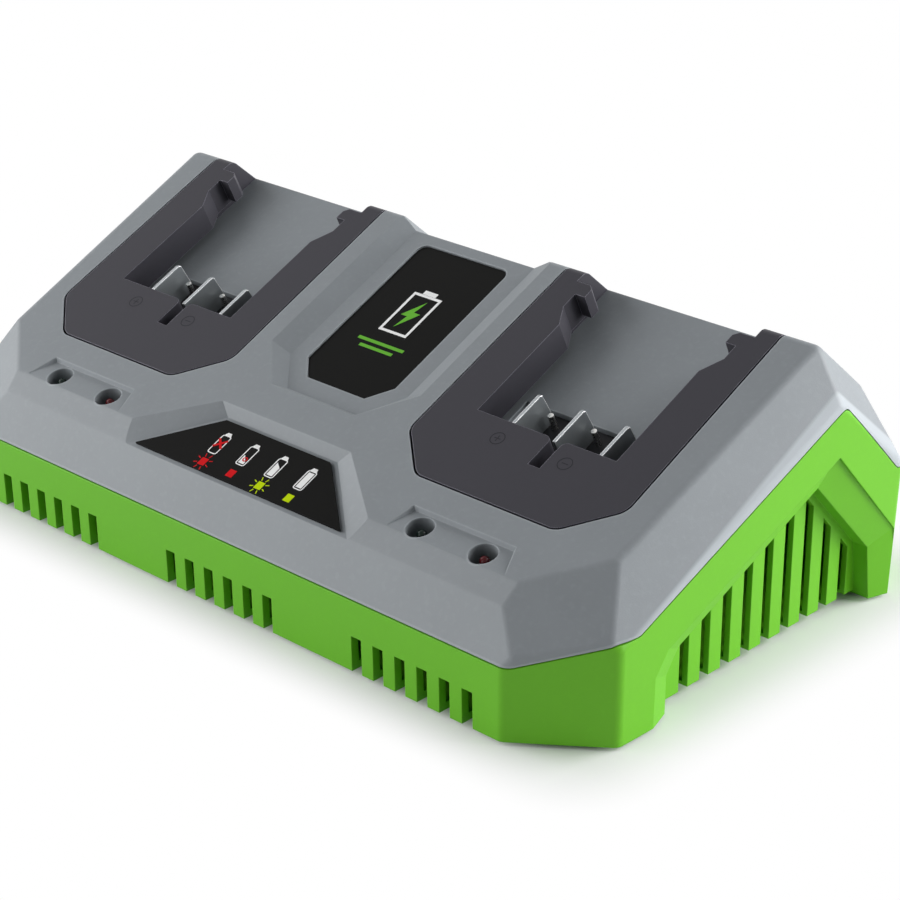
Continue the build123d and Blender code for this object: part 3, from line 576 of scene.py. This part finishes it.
def indicator_signs():
    """Four battery signs with the signal that each stands for."""
    xs = [ICON_FIRST + i * ICON_PITCH for i in range(ICON_COUNT)]
    foot = BATTERY_FOOT + CHARGE_INSET
    top = BATTERY_FOOT + BATTERY_SIZE[1] - CHARGE_INSET
    battery_signs(xs, foot, top)
    fault_cross(xs[0])
    charging_ring(xs[1], foot)
    signal_squares(xs)


def label_signs():
    """A plain charging sign on the label plate: a battery with a bolt, and two bars under it."""
    x, foot, width, height = CHARGE_SIGN
    line = CHARGE_SIGN_LINE
    body = (box_outline(*CHARGE_SIGN), box_outline(x, foot + line, width - 2 * line, height - 2 * line))
    cap = (box_outline(x, foot + height + CHARGE_SIGN_CAP_GAP, *CHARGE_SIGN_CAP), None)
    printed("charge_sign", [body, cap], LABEL_TOP, INKS["white"])
    printed("charge_bolt", [(BOLT, None)], LABEL_TOP, INKS["green"])
    bars = [(box_outline(x, v, wide, BAR_HEIGHT), None) for v, wide in zip(BAR_FEET, BAR_WIDTHS)]
    printed("label_bars", bars, LABEL_TOP, INKS["green"])


def polarity_marks():
    """Rings with plus and minus in front of the blades, as thin dark sheets of painted shade for the
    engraved grooves.
    """
    groove_shade = INKS["shadow"]
    for side, centre in BAY_CENTRES.items():
        for sign, step in MARK_STEP.items():
            x = centre + step
            ring = (circle(x, MARK_V, MARK_RADIUS), circle(x, MARK_V, MARK_RADIUS - MARK_LINE))
            level = (stroke((x - MARK_ARM, MARK_V), (x + MARK_ARM, MARK_V), MARK_LINE), None)
            printed(f"{sign}_mark_{side}", [ring, level], 0.0, groove_shade, MARK_THICK)
            if sign == "plus":
                upright = (stroke((x, MARK_V - MARK_ARM), (x, MARK_V + MARK_ARM), MARK_LINE), None)
                printed(f"{sign}_bar_{side}", [upright], 0.0, groove_shade, PLUS_THICK)


# ---------------------------------------------------------------- stage, light and camera
def away_from_charger(graph):
    """Zero under the charger, rising to one over a short run of floor round it."""
    place = graph.add("SeparateXYZ", Vector=graph.add("TexCoord").outputs["Object"]).outputs
    past = []
    for axis, half in zip("XY", FLOOR_CLEAR):
        beyond = graph.math("SUBTRACT", graph.math("ABSOLUTE", place[axis]), half * MM)
        past.append(graph.math("MAXIMUM", beyond, 0.0))
    corner = graph.add("CombineXYZ", X=past[0], Y=past[1]).outputs[0]
    reach = graph.add("VectorMath", operation="LENGTH", Vector=corner).outputs["Value"]
    ramp = graph.add("MapRange", interpolation_type="SMOOTHSTEP", Value=reach, From_Max=FLOOR_FADE * MM)
    return ramp.outputs["Result"]


def floor():
    """Pale paper that keeps the shadow of the charger and turns white away from it."""
    mesh = bpy.data.meshes.new("floor")
    corners = [(x * FLOOR_HALF, y * FLOOR_HALF, 0) for x, y in ((-1, -1), (1, -1), (1, 1), (-1, 1))]
    mesh.from_pydata(corners, [], [(0, 1, 2, 3)])
    plane = bpy.data.objects.new("floor", mesh)
    bpy.context.scene.collection.objects.link(plane)
    material = bpy.data.materials.new("floor_paper")
    material.use_nodes = True
    graph = Nodes(material.node_tree)
    graph.nodes.clear()
    paper = graph.add("BsdfDiffuse", Color=(*FLOOR_COLOUR, 1))
    white = graph.add("Emission")
    share = graph.math("MULTIPLY", graph.straight_rays(), away_from_charger(graph))
    graph.add("OutputMaterial", Surface=graph.blend(share, paper, white))
    mesh.materials.append(material)


def lamps():
    """Soft boxes that look at the charger."""
    aim = Vector(LAMP_AIM) * MM
    for name, (azimuth, elevation, distance, width, height, watts) in LAMPS.items():
        data = bpy.data.lights.new(name, "AREA")
        data.shape = "RECTANGLE"
        data.size, data.size_y, data.energy = width, height, watts
        lamp = bpy.data.objects.new(name, data)
        bpy.context.scene.collection.objects.link(lamp)
        turn, tilt = math.radians(azimuth), math.radians(elevation)
        back = Vector((math.sin(turn) * math.cos(tilt), -math.cos(turn) * math.cos(tilt), math.sin(tilt)))
        lamp.location = aim + back * distance
        lamp.rotation_mode = "QUATERNION"
        lamp.rotation_quaternion = (-back).to_track_quat("-Z", "Y")


def backdrop():
    """White where the camera or a reflection sees it, a plain cool fill elsewhere."""
    world = bpy.data.worlds.new("studio")
    bpy.context.scene.world = world
    world.use_nodes = True
    graph = Nodes(world.node_tree)
    graph.nodes.clear()
    fill = graph.add("Background", Color=(*AMBIENT, 1), Strength=AMBIENT_LEVEL)
    white = graph.add("Background", Color=(1, 1, 1, 1))
    graph.add("OutputWorld", Surface=graph.blend(graph.straight_rays(), fill, white))


def camera():
    """The camera at the viewing angle of the product picture."""
    data = bpy.data.cameras.new("camera")
    data.sensor_width = CAMERA_SENSOR
    data.lens = CAMERA_LENS
    data.clip_start, data.clip_end = CAMERA_CLIP
    eye = bpy.data.objects.new("camera", data)
    bpy.context.scene.collection.objects.link(eye)
    eye.location = Vector(CAMERA_AT) * MM
    look = (Vector(CAMERA_TO) - Vector(CAMERA_AT)).to_track_quat("-Z", "Y").to_matrix()
    eye.rotation_mode = "QUATERNION"
    eye.rotation_quaternion = (look @ Matrix.Rotation(-CAMERA_ROLL, 3, "Z")).to_quaternion()
    bpy.context.scene.camera = eye


dress_nodes()
indicator_signs()
label_signs()
polarity_marks()
floor()
lamps()
backdrop()
camera()
bpy.context.scene.view_settings.view_transform = "Standard"
